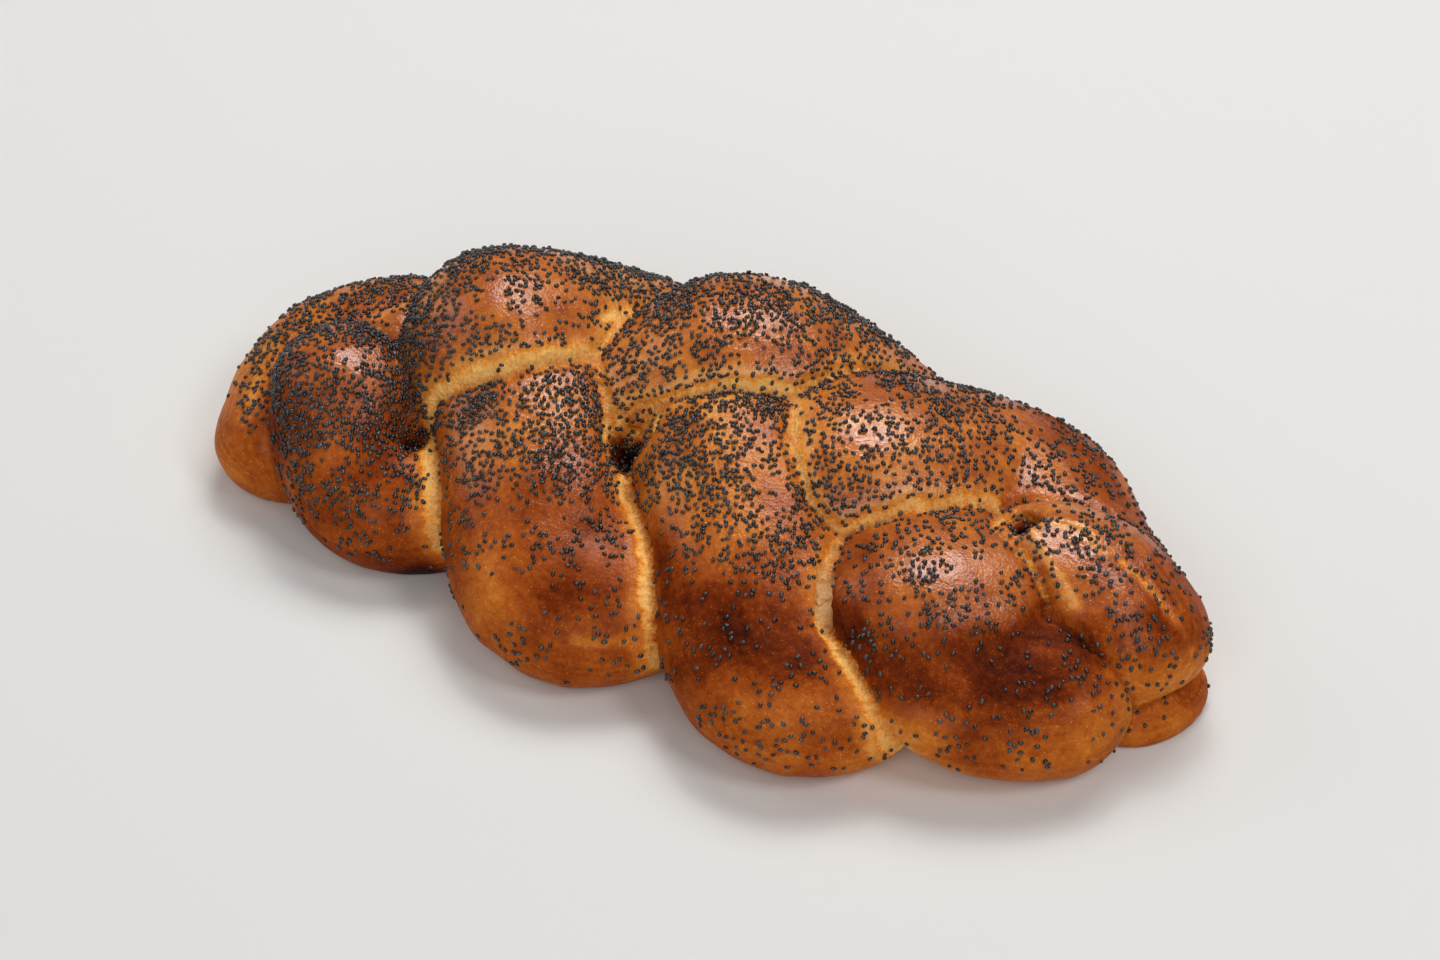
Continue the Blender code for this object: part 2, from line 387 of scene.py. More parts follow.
# %% Measure how far each point is from a seam
TEARS = {  # (lower lobe, upper lobe): width in mm at the left and at the right, and how golden
    ("far 2", "near 2"): (4.2, 2.4, 1.0),
    ("far 3", "near 3"): (0.4, 3.4, 1.0),
    ("far 3", "far 4"): (1.8, 1.0, 0.8),
    ("far 3", "near 2"): (1.2, 0.7, 0.7),
    ("far 2", "far 3"): (1.2, 2.2, 0.9),
    ("far 4", "near 3"): (2.0, 0.2, 0.9),
    ("far 4", "near 4"): (2.2, 1.8, 0.9),
    ("near 2", "near 3"): (1.4, 2.2, 0.9),
    ("near 3", "near 4"): (1.8, 3.2, 0.8),
    ("near 1", "near 2"): (2.6, 2.0, 0.9),
    ("right end", "near 4"): (0.9, 0.1, 0.45),
    ("far 2", "near 1"): (0.2, 0.2, 0.2),
}
PACKED = {("far 2", "near 1")}  # a groove full of seeds
LIP_WIDTH, LIP_GOLD = 0.3, 0.5  # on the upper lobe, for a tear of full strength
GOLD_REACH, PACKED_REACH = 4.5, (1, 5)  # mm from the tear, and from the middle of the groove
FIBRE_REACH, FIBRE_POINTS = 7, 5  # mm from a seam, and how many places on it make a root
NO_SEAM = 99.0  # mm, further than any point is from a seam

ends = edges_of(crust)
pairs = {}
for a, b in ends[owner[ends[:, 0]] != owner[ends[:, 1]]]:
    pair = tuple(sorted((owner[a], owner[b])))
    pairs.setdefault(pair, []).append((points[a] + points[b]) / 2)

seam = np.full(len(points), NO_SEAM)
tear, pale, packed = (np.zeros(len(points)) for _ in range(3))
root, ragged = points.copy(), wobble(points, 6, 1) * 1.2 + wobble(points, 2, 2) * 0.7
swell = np.clip(1 + 0.9 * wobble(points, 16, 3), 0.4, 1.6)  # a tear is wider here, narrower there
for (first, second), middles in pairs.items():
    seam_line = KDTree(len(middles))
    for i, middle in enumerate(middles):
        seam_line.insert(middle, i)
    seam_line.balance()
    left, right = (f(middle[0] for middle in middles) for f in (min, max))
    for lobe, other in ((first, second), (second, first)):
        inside = np.nonzero(owner == lobe)[0]
        hits = [seam_line.find(points[i]) for i in inside]
        gap = np.array([hit[2] for hit in hits]) / MM
        closer = (gap < seam[inside]) & (gap < FIBRE_REACH)
        for i in inside[closer]:
            root[i] = np.mean([hit[0] for hit in seam_line.find_n(points[i], FIBRE_POINTS)], axis=0)
        seam[inside] = np.minimum(seam[inside], gap)
        pair = (lobe_names[lobe], lobe_names[other])
        if pair in TEARS or pair[::-1] in TEARS:
            at_left, at_right, gold = TEARS.get(pair) or TEARS[pair[::-1]]
            share = np.array([(hit[0][0] - left) / (right - left) for hit in hits])
            width = (at_left + (at_right - at_left) * share) * swell[inside]
            if pair not in TEARS:
                width, gold = LIP_WIDTH * np.minimum(width, 1), LIP_GOLD * gold
            strength = ease(0.1, 0.8, width / (1 if pair in TEARS else LIP_WIDTH))
            uneven = gap + ragged[inside] * np.minimum(width / 3, 1)
            amount = strength * (1 - ease(0.5 * width, 1.3 * width + 0.4, uneven))
            tear[inside] = np.maximum(tear[inside], amount)
            golden = gold * ease(-0.5, 1.5, width) * (1 - ease(0.6 * width, width + GOLD_REACH, uneven))
            pale[inside] = np.maximum(pale[inside], golden)
        if pair in PACKED or pair[::-1] in PACKED:
            full = 1 - ease(*PACKED_REACH, gap + ragged[inside])
            packed[inside] = np.maximum(packed[inside], full)
print("seams:", len(pairs), "with torn points:", int((tear > 0.5).sum()))

# %% [markdown]
# Some marks of the real bun have a place of their own: a pale scar between two far lobes,
# the crease beside the outermost strand, a flap of golden skin, stretch marks on the left end
# and a slit near a foot. Each is a line through a few points. Where three lobes meet, the pits
# are full of seeds and painted dark, as painted shade deep in the hole; only the one beside the
# last near lobe stays pale.

# %% Add the marks and the pits
MARKS = (  # half width in mm, how torn, how golden, how deep in mm, then the points x, y, z
    (1.6, 1.0, 0.9, 0.8, ((-33, 23, 43), (-29, 33, 40))),
    (0.7, 0.7, 0.8, 1.4, ((95, -4, 36), (103, -7, 33), (110, -11, 29), (115, -13, 22))),
    (0.8, 0.4, 1.0, -0.9, ((76, -3, 36), (80, -1, 37), (86, -1, 37), (93, -5, 36))),
    (0.7, 0.2, 0.7, 0.6, ((-106, 8, 31), (-94, 13, 32), (-84, 24, 31))),
    (0.6, 0.2, 0.6, 0.6, ((-112, 3, 28), (-106, 1, 29), (-100, -3, 27))),
    (0.5, 0.3, 0.5, 0.5, ((-109, -6, 24), (-105, -12, 23))),
    (0.5, 0.3, 0.6, 0.8, ((-9, -53, 18), (-3, -51, 17), (3, -47, 17))),
    (0.6, 0.25, 0.9, -1.0, ((77, -5, 36), (80, -8, 36), (85, -13, 34), (91, -18, 31))),
)
# Pits painted dark: painted shade in the deep holes where three lobes meet.
SHADED_PITS = ((-66, -11, 18, 5.0), (-15, -3, 22, 6.5), (74, 0, 31, 2.5))  # x, y, z and reach in mm
PALE_PITS = ((41, -31, 27, 5.5),)
DIPS = ((-39, 15, 45, 5.5),)  # where the skin is a little hollow
PALE_DEPTH, DIP_DEPTH = 2.0, 1.0  # mm
PIT_SHADE_FULL, PALE_FULL = 1.5, 1.8  # above 1, so that the painted shade of a dark pit and the pale dough of a pale pit are even round the middle


def reach_of(x, y, z, radius):
    return np.exp(-((np.linalg.norm(points / MM - (x, y, z), axis=1) / radius) ** 2))


groove = np.zeros(len(points))
for half_width, torn, golden, depth, line in MARKS:
    gap = np.full(len(points), np.inf)
    for start, stop in zip(line, line[1:]):
        start, step = np.array(start, float), np.subtract(stop, start)
        share = np.clip(((points / MM - start) @ step) / (step @ step), 0, 1)
        gap = np.minimum(gap, np.linalg.norm(points / MM - start - share[:, None] * step, axis=1))
    groove += depth * np.exp(-((gap / (2 * half_width)) ** 2))
    uneven = gap + 0.4 * half_width * ragged
    tear = np.maximum(tear, torn * (1 - ease(0.3 * half_width, 1.6 * half_width, uneven)))
    pale = np.maximum(pale, golden * (1 - ease(half_width, half_width + 1.5, uneven)))
# Painted shade: the dark pits are darkened in colour and lose their tears and gold.
pit_shade = np.clip(sum(PIT_SHADE_FULL * reach_of(*pit) for pit in SHADED_PITS), 0, 1)
fresh = np.clip(sum(PALE_FULL * reach_of(*pit) for pit in PALE_PITS), 0, 1)
fresh *= 1 - ease(0.6, 2, seam + 0.5 * ragged)
tear, pale = np.maximum(tear * (1 - pit_shade), fresh), pale * (1 - pit_shade)
groove += PALE_DEPTH * fresh + DIP_DEPTH * sum(reach_of(*dip) for dip in DIPS)
move_points(crust, points - normals_of(crust) * (groove * MM)[:, None])
print("marks:", len(MARKS), "pits:", len(SHADED_PITS) + len(PALE_PITS))


# %% [markdown]
# The numbers are kept on the mesh as attributes. A modifier that adds points blends them, and
# later the material reads them, so the crumb's colour always follows its shape.


# %% Keep the numbers on the mesh
def keep(item, name, values):
    many = np.ndim(values) == 2
    kind, part = ("FLOAT_VECTOR", "vector") if many else ("FLOAT", "value")
    layer = item.data.attributes.get(name) or item.data.attributes.new(name, kind, "POINT")
    layer.data.foreach_set(part, np.asarray(values, float).ravel())


def kept(item, name):
    found = np.empty(len(item.data.vertices))
    item.data.attributes[name].data.foreach_get("value", found)
    return found


def weigh(item, name, weights):
    """A vertex group that limits a modifier to where the weights are."""
    group = item.vertex_groups.new(name=name)
    for i in np.nonzero(weights > 0.02)[0]:
        group.add([int(i)], float(weights[i]), "REPLACE")


kept_values = {"tear": tear, "pale": pale, "seam": seam, "pit_shade": pit_shade, "fresh": fresh, "packed": packed}
kept_values.update(lobe=owner, grain=grain, root=root / MM)
for name, values in kept_values.items():
    keep(crust, name, values)
print("kept:", list(kept_values))

# %% [markdown]
# ## Smooth lobes, torn crumb
# Inside a lobe the dough is smooth: the creases where a rope bends sharply are rounded off
# there, away from the seams, and fine clouds give it a little life again. The torn strips need
# more points, so only their faces are subdivided; they are sunk a little and roughened. A
# narrow groove follows every seam, torn or not, and parts the lobes.

# %% Smooth the lobes and roughen the tears
INNER_FROM, INNER_FULL = 2.5, 8  # mm from a seam: where the smoothing starts, and where it is full
TORN_LEAST = 0.04  # a point this torn or more gets finer faces
TEAR_DEPTH, SEAM_DEPTH, SEAM_WIDTH = 0.5, 1.2, 1.2  # mm

weigh(crust, "inner", ease(INNER_FROM, INNER_FULL, seam) * ease(1, 5, points[:, 2] / MM))
modify(crust, "SMOOTH", factor=0.5, iterations=45, vertex_group="inner")
clouds(crust, size=9, strength=0.55, group="inner")

bpy.ops.object.mode_set(mode="EDIT")
bpy.ops.mesh.select_all(action="DESELECT")
bpy.ops.object.mode_set(mode="OBJECT")
torn = tear > TORN_LEAST
for face in crust.data.polygons:
    face.select = bool(torn[list(face.vertices)].any())
bpy.ops.object.mode_set(mode="EDIT")
bpy.ops.mesh.select_mode(type="FACE")
bpy.ops.mesh.subdivide(number_cuts=1)
bpy.ops.object.mode_set(mode="OBJECT")

points, tear, seam = points_of(crust), kept(crust, "tear"), kept(crust, "seam")
above = ease(0.2, 3, points[:, 2] / MM)
sunk = (tear * TEAR_DEPTH + SEAM_DEPTH * np.exp(-((seam / SEAM_WIDTH) ** 2))) * above
move_points(crust, points - normals_of(crust) * (sunk * MM)[:, None])
weigh(crust, "tear", tear * above)
clouds(crust, size=2.5, strength=0.7, group="tear")
clouds(crust, size=1.0, strength=0.4, group="tear")
print("triangles in the crust:", sum(len(p.vertices) - 2 for p in crust.data.polygons))

# %% [markdown]
# ## Browning
# The oven browns what stands up. Each lobe has its own depth of brown, and a belt round its
# side is darker: partly scorched crust, partly painted shade. It stays tan along the sheet,
# where the heat reached last, and golden beside the tears, which opened late.

# %% Work out how brown each point is
BAKE = {  # browning of a lobe, how much darker its belt is (scorched crust and painted shade), and how thick the egg wash is
    "near 4": (0.30, 0.52, 1.0), "right end": (0.32, 0.30, 1.0), "far 4": (0.26, 0.28, 1.0),
    "near 3": (0.30, 0.36, 0.4), "far 3": (0.25, 0.20, 1.0), "near 2": (0.38, 0.20, 0.9),
    "far 2": (0.25, 0.18, 1.0), "near 1": (0.42, 0.12, 1.0), "left end": (0.20, 0.06, 1.0),
    "fold": (0.42, 0.10, 0.3), "sole": (0.45, 0.0, 0.0),
}
BELT_HEIGHT, BELT_REACH, BELT_WAVE = 26.5, 5.5, 4  # mm
MOTTLES = ((0.26, 22, 4), (0.16, 8, 5), (0.05, 3, 6))  # strength, size in mm, and seed of the noise
PATCHES = (  # x, y, z, reach in mm and how much browner; most are seen in the photo as soft spots
    (64, -53, 14, 9, -0.35), (-32, -50, 19, 11, -0.25), (-41, -35, 27, 8, -0.15), (54, 15, 40, 9, -0.1),
    (27, -54, 25, 9, 0.2), (30, -42, 29, 8, 0.12), (64, 12, 33, 8, 0.15), (84, -41, 24, 8, 0.12),
    # The next two rows darken the low fronts and the foot of the near lobes, where they meet the sheet:
    # partly browning, partly painted shade.
    (14, -56, 10, 17, 0.2), (44, -60, 6, 12, 0.12), (-36, -48, 10, 14, 0.16), (-76, -32, 10, 14, 0.2),
    (-56, -30, 0, 6, 0.8), (-90, -22, 0, 6, 0.8),
)
BLEND_STEPS = 10
PALE_CHANGE, PIT_SHADE_CHANGE = -0.36, 0.55  # beside the tears, and the painted shade in the pits
SHEET_REACH, SHEET_BAKE = 0.05, 0.85  # points up to this height in mm touched the baking sheet
EGG_SLOPES, EGG_HEIGHTS, EGG_LOW = (0.2, 0.85), (24, 36), 0.2  # thin on steep and on low skin
EGG_DULL = (0.4, 0.65)  # it burns off where the crust is this brown

points, normals = points_of(crust), normals_of(crust)
owner = np.clip(np.rint(kept(crust, "lobe")).astype(int), 0, len(lobe_names) - 1)
height = points[:, 2] / MM
bake_and_shade, belt_scorch_and_shade, egg = (np.array([BAKE[name][k] for name in lobe_names])[owner] for k in range(3))
# The belt round a lobe's side: partly scorched crust, partly painted shade.
bake_and_shade += belt_scorch_and_shade * np.exp(-(((height - BELT_HEIGHT + BELT_WAVE * wobble(points, 18, 7)) / BELT_REACH) ** 2))
bake_and_shade += sum(strength * wobble(points, size, seed) for strength, size, seed in MOTTLES)
for x, y, z, reach, change in PATCHES:
    bake_and_shade += change * reach_of(x, y, z, reach)
one_end, other_end = edges_of(crust).T
point, neighbour = np.concatenate([one_end, other_end]), np.concatenate([other_end, one_end])
for _ in range(BLEND_STEPS):  # each point meets its neighbours' mean halfway, so the lobes blend
    mean = np.bincount(point, bake_and_shade[neighbour]) / np.bincount(point)
    bake_and_shade = (bake_and_shade + mean) / 2
bake_and_shade += PALE_CHANGE * kept(crust, "pale")
# Painted shade deep in the pits.
bake_and_shade += PIT_SHADE_CHANGE * kept(crust, "pit_shade")
bake_and_shade = np.where(height < SHEET_REACH, SHEET_BAKE, bake_and_shade)
keep(crust, "bake_and_shade", np.clip(bake_and_shade, 0, 1))
egg *= ease(*EGG_SLOPES, normals[:, 2]) * (EGG_LOW + (1 - EGG_LOW) * ease(*EGG_HEIGHTS, height))
keep(crust, "egg", egg * (1 - ease(*EGG_DULL, bake_and_shade)))
print("browning from", round(float(bake_and_shade.min()), 2), "to", round(float(bake_and_shade.max()), 2))

# %% [markdown]
# ## The crust's material
# One material does crust and crumb. A ramp turns browning into colour, and noise mottles it:
# round spots, and streaks that follow the grain. The tear attribute mixes in the pale, dull
# crumb, with fibres across the seam. The egg wash is a clear coat, thickest on the tops.


# %% Helpers for materials
def feed(target, source):
    """Gives an input a number or another node's output."""
    if isinstance(source, bpy.types.NodeSocket):
        target.id_data.links.new(source, target)
    else:
        target.default_value = source


def node(tree, kind, inputs, **settings):
    made = tree.nodes.new("ShaderNode" + kind)
    for name, value in settings.items():
        setattr(made, name, value)
    for name, source in inputs.items():
        feed(made.inputs[name], source)
    return made


def maths(tree, operation, first, second, third=0.0, clamp=False):
    made = node(tree, "Math", {0: first, 1: second, 2: third}, operation=operation, use_clamp=clamp)
    return made.outputs[0]


def sway(tree, base, noise_value, amount):
    """The base, raised where the noise is high and lowered where it is low."""
    return maths(tree, "MULTIPLY_ADD", maths(tree, "SUBTRACT", noise_value, 0.5), amount, base)


def ramp(tree, source, stops):
    made = node(tree, "ValToRGB", {0: source})
    band = made.color_ramp.elements
    band[0].position, band[0].color = stops[0][0], (*stops[0][1], 1)
    band[1].position, band[1].color = stops[-1][0], (*stops[-1][1], 1)
    for place, colour in stops[1:-1]:
        band.new(place).color = (*colour, 1)
    return made.outputs[0]


def speckle(tree, where, scale, detail=2.0, rough=0.5):
    inputs = {"Vector": where, "Scale": scale, "Detail": detail, "Roughness": rough}
    return node(tree, "TexNoise", inputs).outputs[0]


def attribute(tree, name, part="Fac"):
    return node(tree, "Attribute", {}, attribute_name=name).outputs[part]


def mix(tree, share, first, second):
    return node(tree, "Mix", {0: share, 6: first, 7: second}, data_type="RGBA").outputs[2]


def between(tree, source, low, high, at_low=0.0, at_high=1.0):
    return node(tree, "MapRange", {0: source, 1: low, 2: high, 3: at_low, 4: at_high}).outputs[0]


def new_material(name):
    made = bpy.data.materials.new(name)
    made.use_nodes = True
    return made, made.node_tree, made.node_tree.nodes["Principled BSDF"]


print("material helpers are ready")

# %% Make the crust's material
baked, tree, shader = new_material("baked crust")
where = node(tree, "TexCoord", {}).outputs["Object"]
streak = speckle(tree, attribute(tree, "grain", "Vector"), 0.5, 3, 0.6)
fibre = speckle(tree, attribute(tree, "root", "Vector"), 1.3, 2, 0.6)
spot_noise = speckle(tree, where, 700, 3, 0.6)
blotch, grit = speckle(tree, where, 150, 3), speckle(tree, where, 1500, 3)

SPOTS, STREAKS, BLOTCHES = 0.4, 0.32, 0.42  # how strongly each noise mottles the browning
SEAM_SHADE_DARKER, FLECK_PALE = 0.3, 0.25  # how much darker the seam line is painted (painted shade in the crease, partly brown pores), and how much paler a fleck

# Painted shade: the colour darkens along the seam line, where shade falls in the crease; partly brown pores
# too.
seam_shade = between(tree, sway(tree, attribute(tree, "seam"), grit, 0.8), 0.35, 0.85, 0.6, 0.0)
browning_and_shade = maths(tree, "MULTIPLY_ADD", seam_shade, SEAM_SHADE_DARKER, attribute(tree, "bake_and_shade"))
browning_and_shade = sway(tree, browning_and_shade, spot_noise, SPOTS)
browning_and_shade = sway(tree, sway(tree, browning_and_shade, streak, STREAKS), blotch, BLOTCHES)
flecks = between(tree, speckle(tree, where, 1900, 1), 0.64, 0.74, 0, FLECK_PALE)
crust_colour = ramp(
    tree,
    maths(tree, "SUBTRACT", browning_and_shade, flecks),
    (
        (0.0, (0.78, 0.320, 0.068)),
        (0.2, (0.60, 0.170, 0.020)),
        (0.45, (0.38, 0.076, 0.008)),
        (0.7, (0.17, 0.025, 0.003)),
        (0.9, (0.06, 0.008, 0.002)),
        (1.0, (0.02, 0.004, 0.002)),
    ),
)
torn = sway(tree, sway(tree, attribute(tree, "tear"), fibre, 0.7), spot_noise, 0.5)
crumb_colour = ramp(
    tree,
    sway(tree, maths(tree, "MULTIPLY", torn, 0.9), grit, 1.1),
    ((0.3, (0.70, 0.18, 0.016)), (0.6, (0.95, 0.35, 0.048)), (1.0, (1.0, 0.60, 0.19))),
)
crumb = maths(tree, "MULTIPLY", between(tree, torn, 0.15, 0.65), maths(tree, "SUBTRACT", 1.0, seam_shade))
skin_colour = mix(tree, crumb, crust_colour, crumb_colour)
RAW_DOUGH, RAW_SHARE = (0.72, 0.46, 0.22, 1), 0.85  # its colour, and how much of it a pale pit shows
raw = maths(tree, "MULTIPLY", attribute(tree, "fresh"), RAW_SHARE, clamp=True)
feed(shader.inputs["Base Color"], mix(tree, raw, skin_colour, RAW_DOUGH))
feed(shader.inputs["Roughness"], between(tree, crumb, 0, 1, 0.45, 0.85))
wash = maths(tree, "MULTIPLY", attribute(tree, "egg"), between(tree, blotch, 0.35, 0.65, 0.6, 1.0))
coat = maths(tree, "MULTIPLY", wash, maths(tree, "SUBTRACT", 1.0, crumb), clamp=True)
feed(shader.inputs["Coat Weight"], coat)
shader.inputs["Coat Roughness"].default_value = 0.18
shader.inputs["Coat IOR"].default_value = 1.7
shader.inputs["Specular IOR Level"].default_value = 0.03

ripple = maths(tree, "MULTIPLY_ADD", streak, 1.0, speckle(tree, where, 420))
ripple = maths(tree, "MULTIPLY_ADD", grit, 0.8, ripple)
pores = maths(tree, "MULTIPLY_ADD", fibre, 3.0, maths(tree, "MULTIPLY", grit, 2.0))
pores = maths(tree, "MULTIPLY", crumb, pores)
height_map = maths(tree, "ADD", ripple, pores)
bump = node(tree, "Bump", {"Strength": 0.4, "Distance": 0.0005, "Height": height_map}).outputs[0]
feed(shader.inputs["Normal"], bump)
feed(shader.inputs["Coat Normal"], bump)
crust.data.materials.clear()
crust.data.materials.append(baked)
only(crust)
bpy.ops.object.shade_smooth_by_angle(angle=math.radians(75))
print("crust material has", len(tree.nodes), "nodes")

# %% [markdown]
# ## Poppy seeds
# Poppy seeds are blue-black and kidney-shaped, a little over a millimetre long. Thousands lie
# on the crust, so one seed is modelled with few faces and copied into one mesh for each of
# three kinds: dark, slate and brown. They lie thick on the tops, thin out on the low fronts
# and are missing in the tears.

# %% Model one seed
SEED_LONG, SEED_WIDE, SEED_THICK = 1.22, 1.0, 0.8  # mm
HOLLOW_REACH, HOLLOW_DEPTH = 0.3, 0.18  # mm, of the hollow that makes it a kidney

bpy.ops.object.select_all(action="DESELECT")
bpy.ops.mesh.primitive_uv_sphere_add(segments=7, ring_count=5, radius=0.5)
one = bpy.context.object
shape = points_of(one)[:, [2, 0, 1]] * (SEED_LONG, SEED_WIDE, SEED_THICK)
hollow = np.exp(-((shape[:, 0] / HOLLOW_REACH) ** 2)) * ease(0, 0.5, shape[:, 1])
shape[:, 1] -= HOLLOW_DEPTH * hollow
faces = [tuple(p.vertices) for p in one.data.polygons]
bpy.data.objects.remove(one)
print("one seed has", len(faces), "faces")

# %% [markdown]
# Where may a seed lie? We draw triangles of the crust at random, weighted by their size and by
# how thickly that place is strewn, and drop a draw where a seed already lies. A few of those
# are kept after all and lie on top, as in a real heap of seeds.

# %% Strew the seeds
STREWN = {  # seeds for each square centimetre: high up, low on the side, and two heights between
    "near 4": (20, 5, 22, 42), "right end": (23, 7, 22, 38), "far 4": (34, 10, 22, 42),
    "near 3": (76, 6, 27, 45), "far 3": (56, 16, 20, 40), "near 2": (80, 8, 24, 42),
    "far 2": (54, 24, 20, 40), "near 1": (80, 14, 14, 30), "left end": (56, 0, 17, 28),
    "fold": (3, 3, 0, 1), "sole": (0, 0, 0, 1),
}
RICH = ((-24, -10, 38, 11), (2, -12, 41, 10), (-76, -14, 34, 9), (-66, 2, 40, 7))  # more seeds there
BARE = ((-39, 15, 45, 7), (-57, 14, 51, 7), (12, -42, 29, 9), (-30, -52, 20, 12))  # few seeds there
BARE_LOSS, TEAR_LOSS = 0.85, 0.95  # share of the seeds that is missing there
RICH_MORE, PIT_SEEDS_MORE, PACKED_MORE = 45, 60, 40  # seeds more for each square centimetre
CLUMPS, FINE_CLUMPS = 1.6, 0.9  # how unevenly the seeds fell
SEED_GAP, SEED_RISE = 0.92, 0.22  # mm between middles, and thicknesses above the skin
# A seed on top of others: its chance, how many thicknesses higher, and on how many at most.
SECOND_LAYER, LAYER_RISE, MOST_NEAR = 0.12, 0.55, 2
DRAWS = 40000

rng = np.random.default_rng(5)
mesh = crust.data
mesh.calc_loop_triangles()
corners = np.empty(len(mesh.loop_triangles) * 3, int)
mesh.loop_triangles.foreach_get("vertices", corners)
corners = corners.reshape(-1, 3)
points, normals = points_of(crust), normals_of(crust)
height, tear = points[:, 2] / MM, kept(crust, "tear")
high, low, start, stop = (np.array([STREWN[name][k] for name in lobe_names])[owner] for k in range(4))
thick = low + (high - low) * ease(start, stop, height) * ease(-0.1, 0.5, normals[:, 2])
uneven = 0.8 + CLUMPS * wobble(points, 10, 8) + FINE_CLUMPS * wobble(points, 3, 9)
thick = thick * np.clip(uneven, 0.1, 2)
thick += RICH_MORE * sum(reach_of(*place) for place in RICH)
thick *= 1 - TEAR_LOSS * ease(0.2, 0.6, tear)
for place in BARE:
    thick *= 1 - BARE_LOSS * reach_of(*place)
thick += PIT_SEEDS_MORE * kept(crust, "pit_shade") + PACKED_MORE * kept(crust, "packed")
thick *= ease(3, 6, height) * ease(-0.5, -0.1, normals[:, 2])
a, b, c = (points[corners[:, k]] for k in range(3))
cross = np.cross(b - a, c - a)
area = np.linalg.norm(cross, axis=1) / 2
weight = area * 1e4 * thick[corners].mean(axis=1)
wanted = weight.sum()
print("seeds wanted:", int(wanted))
chosen = rng.choice(len(corners), DRAWS, p=weight / weight.sum())
r, s = np.sqrt(rng.random(DRAWS)), rng.random(DRAWS)
spot = a[chosen] * (1 - r)[:, None] + b[chosen] * (r * (1 - s))[:, None] + c[chosen] * (r * s)[:, None]
facing = normals[corners[chosen]].mean(axis=1)
facing /= np.linalg.norm(facing, axis=1, keepdims=True)
cells, laid = {}, []
for i in range(DRAWS):
    if len(laid) >= wanted:
        break
    cell = tuple(np.floor(spot[i] / MM).astype(int))
    near = [
        j for dx in (-1, 0, 1) for dy in (-1, 0, 1) for dz in (-1, 0, 1)
        for j in cells.get((cell[0] + dx, cell[1] + dy, cell[2] + dz), ())
        if np.linalg.norm(spot[j] - spot[i]) < SEED_GAP * MM
    ]
    raised = 0.0
    if near:
        if len(near) > MOST_NEAR or rng.random() > SECOND_LAYER:
            continue
        raised = LAYER_RISE * SEED_THICK
    cells.setdefault(cell, []).append(i)
    laid.append((i, raised))
print("seeds laid:", len(laid))

# %% [markdown]
# Each seed is turned at random, tilted a little, and made slightly larger or smaller. One more
# random number for each seed is kept on the mesh, and the material turns it into a shade.

# %% Build the three kinds of seed
SEED_TILT, SIZE_SPREAD, SIZE_RANGE = 0.16, 0.09, (0.78, 1.2)


def strew(name, seeds):
    count = len(seeds)
    index = np.array([i for i, _ in seeds])
    lift = np.array([raised for _, raised in seeds])
    up = facing[index] + rng.normal(0, SEED_TILT, (count, 3))
    up /= np.linalg.norm(up, axis=1, keepdims=True)
    along = np.cross(up, rng.normal(size=(count, 3)))
    along /= np.linalg.norm(along, axis=1, keepdims=True)
    across = np.cross(up, along)
    size = rng.normal(1, SIZE_SPREAD, (count, 1, 1)).clip(*SIZE_RANGE)
    local = shape[None] * size
    turned = local[..., :1] * along[:, None] + local[..., 1:2] * across[:, None]
    turned = turned + local[..., 2:] * up[:, None]
    middle = spot[index] / MM + facing[index] * (lift + SEED_RISE * SEED_THICK)[:, None]
    coords = ((turned + middle[:, None]) * MM).reshape(-1, 3)
    step = len(shape)
    sides = [tuple(v + k * step for v in face) for k in range(count) for face in faces]
    mesh = bpy.data.meshes.new(name)
    mesh.from_pydata(coords.tolist(), [], sides)
    made = bpy.data.objects.new(name, mesh)
    bpy.context.scene.collection.objects.link(made)
    only(made)
    bpy.ops.object.shade_smooth()
    keep(made, "tint", np.repeat(rng.random(count), step))
    return made


def seed_material(name, first, second):
    made, tree, shader = new_material(name)
    where = node(tree, "TexCoord", {}).outputs["Object"]
    blend = sway(tree, attribute(tree, "tint"), speckle(tree, where, 2500), 0.8)
    feed(shader.inputs["Base Color"], ramp(tree, blend, ((0.0, first), (1.0, second))))
    shader.inputs["Roughness"].default_value = 0.22
    shader.inputs["Specular IOR Level"].default_value = 0.7
    grit = speckle(tree, where, 6000)
    bump = node(tree, "Bump", {"Strength": 0.3, "Distance": 0.00008, "Height": grit})
    feed(shader.inputs["Normal"], bump.outputs[0])
    return made


KINDS = {  # share of all seeds, and the colours between which the seeds of a kind vary
    "seeds_dark": (0.38, (0.003, 0.003, 0.004), (0.016, 0.017, 0.022)),
    "seeds_slate": (0.36, (0.014, 0.015, 0.019), (0.058, 0.060, 0.069)),
    "seeds_brown": (0.26, (0.014, 0.010, 0.008), (0.060, 0.042, 0.031)),
}
laid = [laid[i] for i in rng.permutation(len(laid))]
cuts = np.cumsum([share for share, _, _ in KINDS.values()]) * len(laid)
taken, seed_pieces = 0, []
for (name, (_, low_tone, high_tone)), last in zip(KINDS.items(), cuts.round().astype(int)):
    piece = strew(name, laid[taken:last])
    piece.data.materials.append(seed_material(name, low_tone, high_tone))
    seed_pieces.append(piece)
    print(name, last - taken, "seeds")
    taken = last

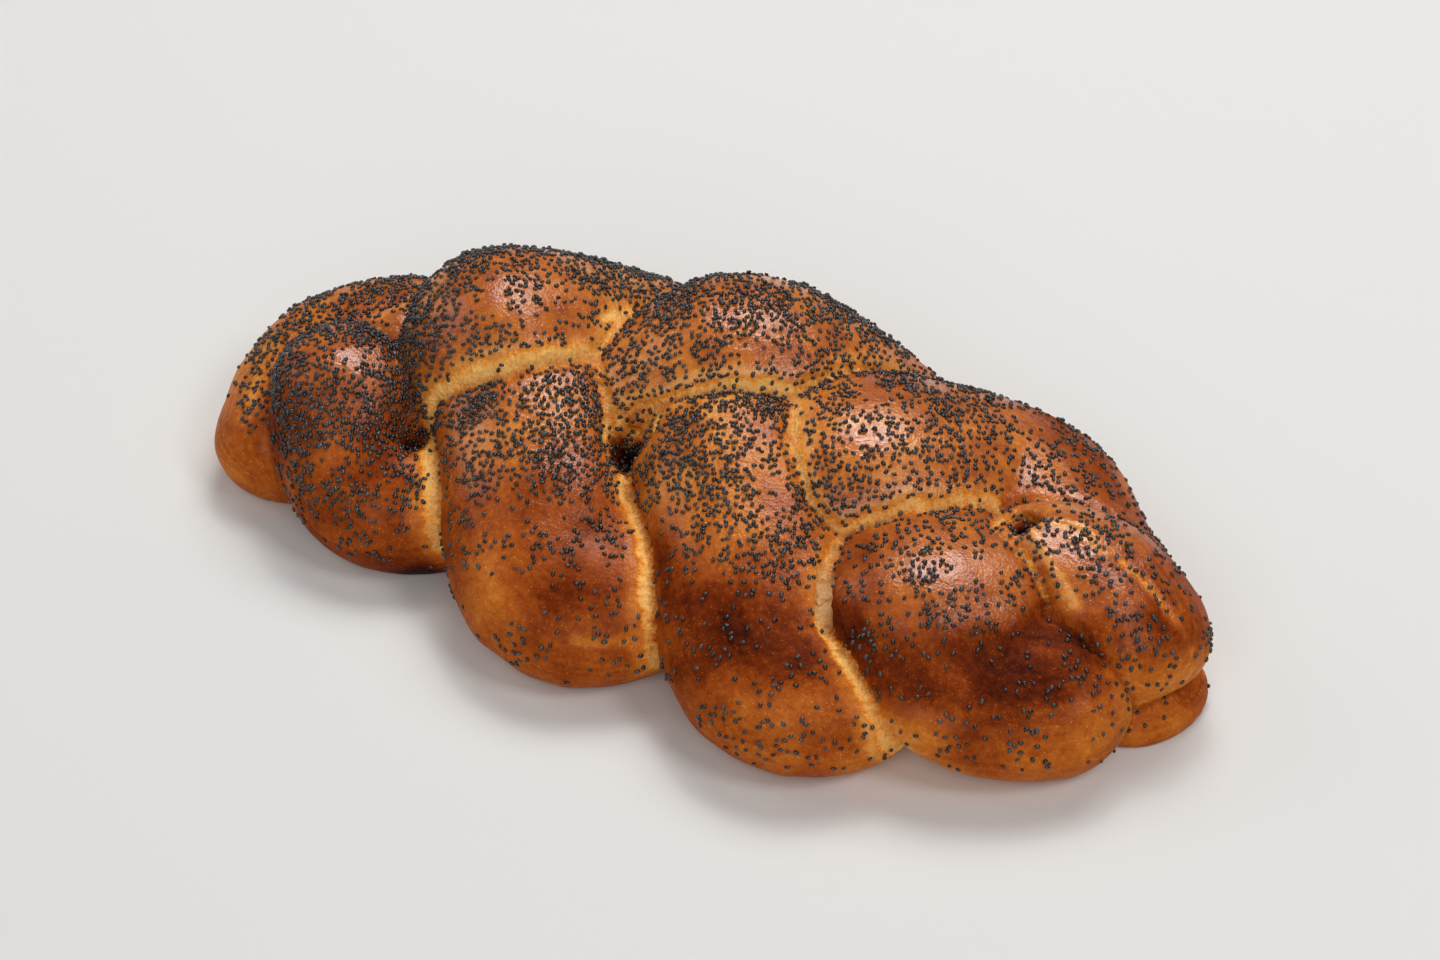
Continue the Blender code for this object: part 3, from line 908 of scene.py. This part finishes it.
# %% [markdown]
# ## Tell the frame what each piece is
# The crust stands for the CAD bun, and the seeds ride along with it.

# %% Bind the pieces to the frame
for piece in (crust, *seed_pieces):
    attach(piece, "root")
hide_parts("bun")
print("pieces bound:", 1 + len(seed_pieces))

# %% [markdown]
# ## The stage
# A pale floor and soft lamps, as in a small photo studio. The largest and strongest one lights
# the bun from the front. Two hang above and behind it, a broad one and a small one, and their
# reflections give the crust its sheen.

# %% Set the floor and the light
bpy.ops.object.select_all(action="DESELECT")
bpy.ops.mesh.primitive_plane_add(size=6, location=(0, 0, 0))
floor = bpy.context.object
floor.name = "floor"
paper = bpy.data.materials.new("pale paper")
paper.use_nodes = True
paper.node_tree.nodes["Principled BSDF"].inputs["Base Color"].default_value = (0.79, 0.79, 0.785, 1)
paper.node_tree.nodes["Principled BSDF"].inputs["Roughness"].default_value = 0.9
floor.data.materials.append(paper)


def lamp(name, place, size, power, tone):
    made = bpy.data.objects.new(name, bpy.data.lights.new(name, "AREA"))
    made.data.shape = "RECTANGLE"
    made.data.size, made.data.size_y = size
    made.data.energy = power
    made.data.color = tone
    made.location = place
    made.rotation_euler = Vector(place).to_track_quat("Z", "Y").to_euler()
    bpy.context.scene.collection.objects.link(made)


lamp("overhead", (-0.05, 0.75, 1.2), (0.9, 0.65), 10, (1.0, 0.985, 0.96))
lamp("window", (-0.15, 0.7, 1.2), (0.2, 0.2), 1.6, (1.0, 0.99, 0.97))
lamp("left", (-1.1, 0.0, 0.7), (0.7, 0.7), 1.8, (1.0, 0.985, 0.97))
lamp("right", (0.8, -0.2, 1.1), (0.4, 0.4), 3.5, (1.0, 0.99, 0.97))
lamp("front", (0.4, -1.6, 1.3), (2.0, 1.5), 15, (1.0, 0.985, 0.96))
world = bpy.data.worlds.new("studio")
world.use_nodes = True
world.node_tree.nodes["Background"].inputs["Color"].default_value = (1.0, 0.99, 0.975, 1)
world.node_tree.nodes["Background"].inputs["Strength"].default_value = 0.15
bpy.context.scene.world = world
